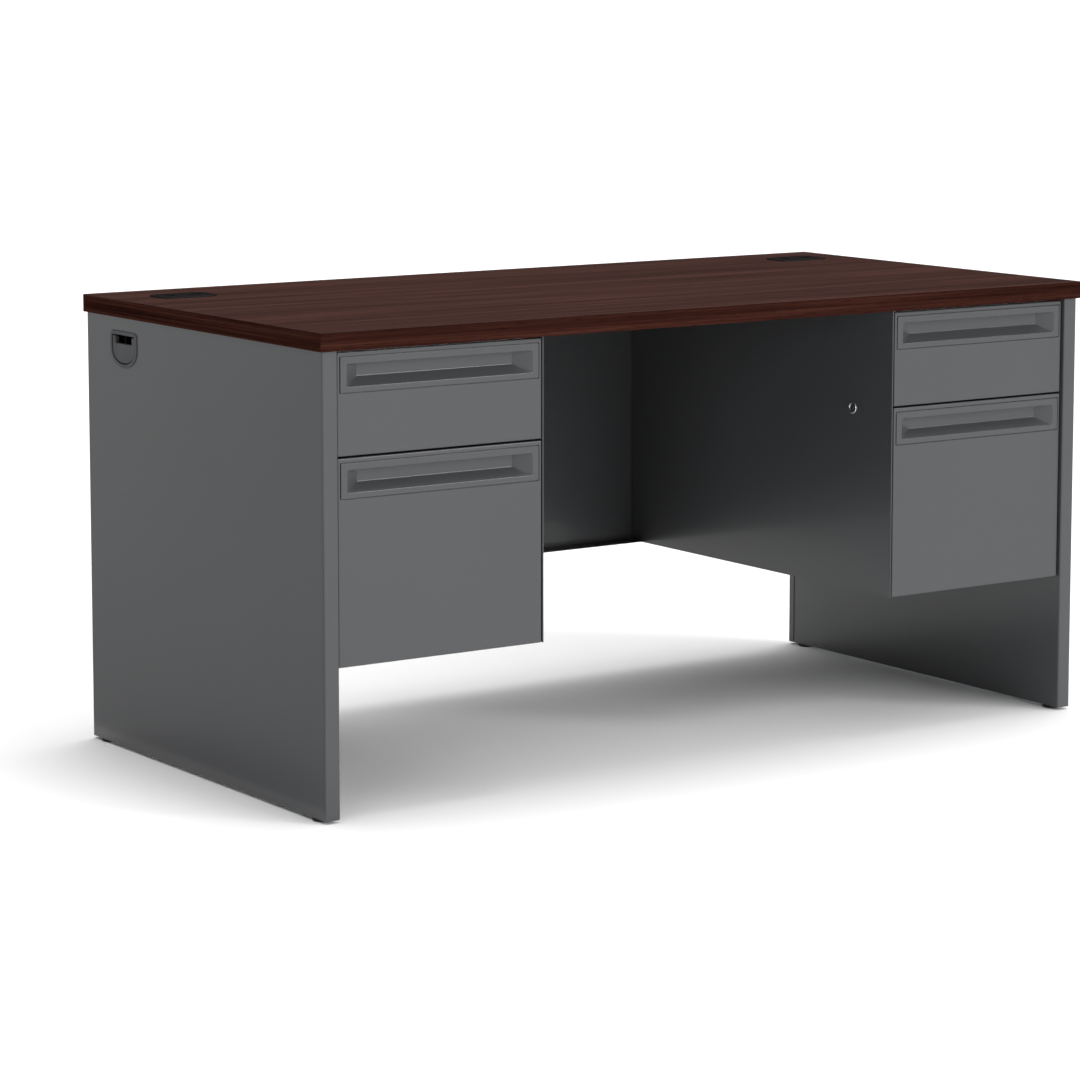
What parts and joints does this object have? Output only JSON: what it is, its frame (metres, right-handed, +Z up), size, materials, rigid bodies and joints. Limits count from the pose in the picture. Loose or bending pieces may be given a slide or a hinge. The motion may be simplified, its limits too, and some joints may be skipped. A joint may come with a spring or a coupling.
{
  "type": "teacher desk",
  "caption": "Double-pedestal steel desk with a wood-grain laminate worktop, box and file drawers on ball-bearing slides, side locks, cord grommets and levelling glides.",
  "frame": {"origin": "on the floor under the middle of the desk", "axes": "+X to the right seen from the drawer side, -Y the drawer side, +Z up"},
  "size_m": [1.524, 0.762, 0.7513],
  "materials": {
    "mahogany_laminate": "satin",
    "core_board": "matte",
    "backer_sheet": "matte",
    "charcoal_paint": "satin",
    "tub_paint": "satin",
    "zinc_steel": "satin",
    "chrome": "polished",
    "black_plastic": "matte",
    "charcoal_plastic": "matte",
    "glide_plastic": "matte"
  },
  "bodies": {
    "desk": {"case_rails": "zinc_steel", "cord_grommet_rings": "black_plastic", "end_panel_channels": "zinc_steel", "end_panel_stiffeners": "zinc_steel", "glide_nuts": "zinc_steel", "left_case_floor": "charcoal_paint", "left_case_shell": "charcoal_paint", "left_end_panel_liner": "charcoal_paint", "left_end_panel_shell": "charcoal_paint", "left_knee_panel": "charcoal_paint", "lock_shells": "chrome", "modesty_panel": "charcoal_paint", "right_case_floor": "charcoal_paint", "right_case_shell": "charcoal_paint", "right_end_panel_liner": "charcoal_paint", "right_end_panel_shell": "charcoal_paint", "right_knee_panel": "charcoal_paint", "sheet_screws": "zinc_steel", "side_grommet_bezels": "charcoal_plastic", "slide_case_members": "zinc_steel", "worktop_backer": "backer_sheet", "worktop_core": "core_board", "worktop_laminate": "mahogany_laminate", "worktop_long_edges": "mahogany_laminate", "worktop_screws": "zinc_steel", "worktop_short_edges": "mahogany_laminate"},
    "left_box_drawer": {"left_box_drawer_front": "charcoal_paint", "left_box_drawer_pull": "charcoal_paint", "left_box_drawer_tub": "tub_paint", "left_box_slide_drawer_members": "zinc_steel"},
    "left_box_slide_middle": {"left_box_slide_middle_members": "zinc_steel"},
    "left_file_drawer": {"left_file_drawer_front": "charcoal_paint", "left_file_drawer_pull": "charcoal_paint", "left_file_drawer_tub": "tub_paint", "left_file_slide_drawer_members": "zinc_steel", "left_hanging_rails": "zinc_steel"},
    "left_file_slide_middle": {"left_file_slide_middle_members": "zinc_steel"},
    "left_lock_core": {"left_lock_core": "chrome"},
    "left_lock_bar": {"left_lock_bar": "zinc_steel"},
    "left_cord_cap": {"left_cord_cap": "black_plastic"},
    "left_side_cord_cover": {"left_side_cord_cover": "charcoal_plastic"},
    "left_front_glide": {"left_front_glide": "glide_plastic"},
    "left_rear_glide": {"left_rear_glide": "glide_plastic"},
    "right_box_drawer": {"right_box_drawer_front": "charcoal_paint", "right_box_drawer_pull": "charcoal_paint", "right_box_drawer_tub": "tub_paint", "right_box_slide_drawer_members": "zinc_steel"},
    "right_box_slide_middle": {"right_box_slide_middle_members": "zinc_steel"},
    "right_file_drawer": {"right_file_drawer_front": "charcoal_paint", "right_file_drawer_pull": "charcoal_paint", "right_file_drawer_tub": "tub_paint", "right_file_slide_drawer_members": "zinc_steel", "right_hanging_rails": "zinc_steel"},
    "right_file_slide_middle": {"right_file_slide_middle_members": "zinc_steel"},
    "right_lock_core": {"right_lock_core": "chrome"},
    "right_lock_bar": {"right_lock_bar": "zinc_steel"},
    "right_cord_cap": {"right_cord_cap": "black_plastic"},
    "right_side_cord_cover": {"right_side_cord_cover": "charcoal_plastic"},
    "right_front_glide": {"right_front_glide": "glide_plastic"},
    "right_rear_glide": {"right_rear_glide": "glide_plastic"}
  },
  "joints": [
    {"name": "left_box_drawer_slide", "type": "slide", "parent": "desk", "child": "left_box_drawer", "axis": [0, -1, 0], "range_m": [0, 0.48]},
    {"name": "left_box_middle_slide", "type": "slide", "parent": "desk", "child": "left_box_slide_middle", "axis": [0, -1, 0], "range_m": [0, 0.24]},
    {"name": "left_file_drawer_slide", "type": "slide", "parent": "desk", "child": "left_file_drawer", "axis": [0, -1, 0], "range_m": [0, 0.48]},
    {"name": "left_file_middle_slide", "type": "slide", "parent": "desk", "child": "left_file_slide_middle", "axis": [0, -1, 0], "range_m": [0, 0.24]},
    {"name": "left_lock_turn", "type": "hinge", "parent": "desk", "child": "left_lock_core", "pos_m": [-0.352, -0.268, 0.548], "axis": [1, 0, 0], "range_deg": [0, 90]},
    {"name": "left_lock_bar_lift", "type": "slide", "parent": "desk", "child": "left_lock_bar", "axis": [0, 0, 1], "range_m": [0, 0.00708]},
    {"name": "left_cord_cap_lift", "type": "slide", "parent": "desk", "child": "left_cord_cap", "axis": [0, 0, 1], "range_m": [0, 0.02]},
    {"name": "left_side_cover_pull", "type": "slide", "parent": "desk", "child": "left_side_cord_cover", "axis": [-1, 0, 0], "range_m": [0, 0.015]},
    {"name": "left_front_glide_screw", "type": "slide", "parent": "desk", "child": "left_front_glide", "axis": [0, 0, -1], "range_m": [0, 0.012]},
    {"name": "left_rear_glide_screw", "type": "slide", "parent": "desk", "child": "left_rear_glide", "axis": [0, 0, -1], "range_m": [0, 0.012]},
    {"name": "right_box_drawer_slide", "type": "slide", "parent": "desk", "child": "right_box_drawer", "axis": [0, -1, 0], "range_m": [0, 0.48]},
    {"name": "right_box_middle_slide", "type": "slide", "parent": "desk", "child": "right_box_slide_middle", "axis": [0, -1, 0], "range_m": [0, 0.24]},
    {"name": "right_file_drawer_slide", "type": "slide", "parent": "desk", "child": "right_file_drawer", "axis": [0, -1, 0], "range_m": [0, 0.48]},
    {"name": "right_file_middle_slide", "type": "slide", "parent": "desk", "child": "right_file_slide_middle", "axis": [0, -1, 0], "range_m": [0, 0.24]},
    {"name": "right_lock_turn", "type": "hinge", "parent": "desk", "child": "right_lock_core", "pos_m": [0.352, -0.268, 0.548], "axis": [1, 0, 0], "range_deg": [0, 90]},
    {"name": "right_lock_bar_lift", "type": "slide", "parent": "desk", "child": "right_lock_bar", "axis": [0, 0, 1], "range_m": [0, 0.00708]},
    {"name": "right_cord_cap_lift", "type": "slide", "parent": "desk", "child": "right_cord_cap", "axis": [0, 0, 1], "range_m": [0, 0.02]},
    {"name": "right_side_cover_pull", "type": "slide", "parent": "desk", "child": "right_side_cord_cover", "axis": [1, 0, 0], "range_m": [0, 0.015]},
    {"name": "right_front_glide_screw", "type": "slide", "parent": "desk", "child": "right_front_glide", "axis": [0, 0, -1], "range_m": [0, 0.012]},
    {"name": "right_rear_glide_screw", "type": "slide", "parent": "desk", "child": "right_rear_glide", "axis": [0, 0, -1], "range_m": [0, 0.012]}
  ],
  "couplings": [
    {"joint": "left_box_middle_slide", "follows": "left_box_drawer_slide", "ratio": 0.5},
    {"joint": "left_file_middle_slide", "follows": "left_file_drawer_slide", "ratio": 0.5},
    {"joint": "left_lock_bar_lift", "follows": "left_lock_turn", "m_per_rad": 0.0045},
    {"joint": "right_box_middle_slide", "follows": "right_box_drawer_slide", "ratio": 0.5},
    {"joint": "right_file_middle_slide", "follows": "right_file_drawer_slide", "ratio": 0.5},
    {"joint": "right_lock_bar_lift", "follows": "right_lock_turn", "m_per_rad": 0.0045}
  ]
}
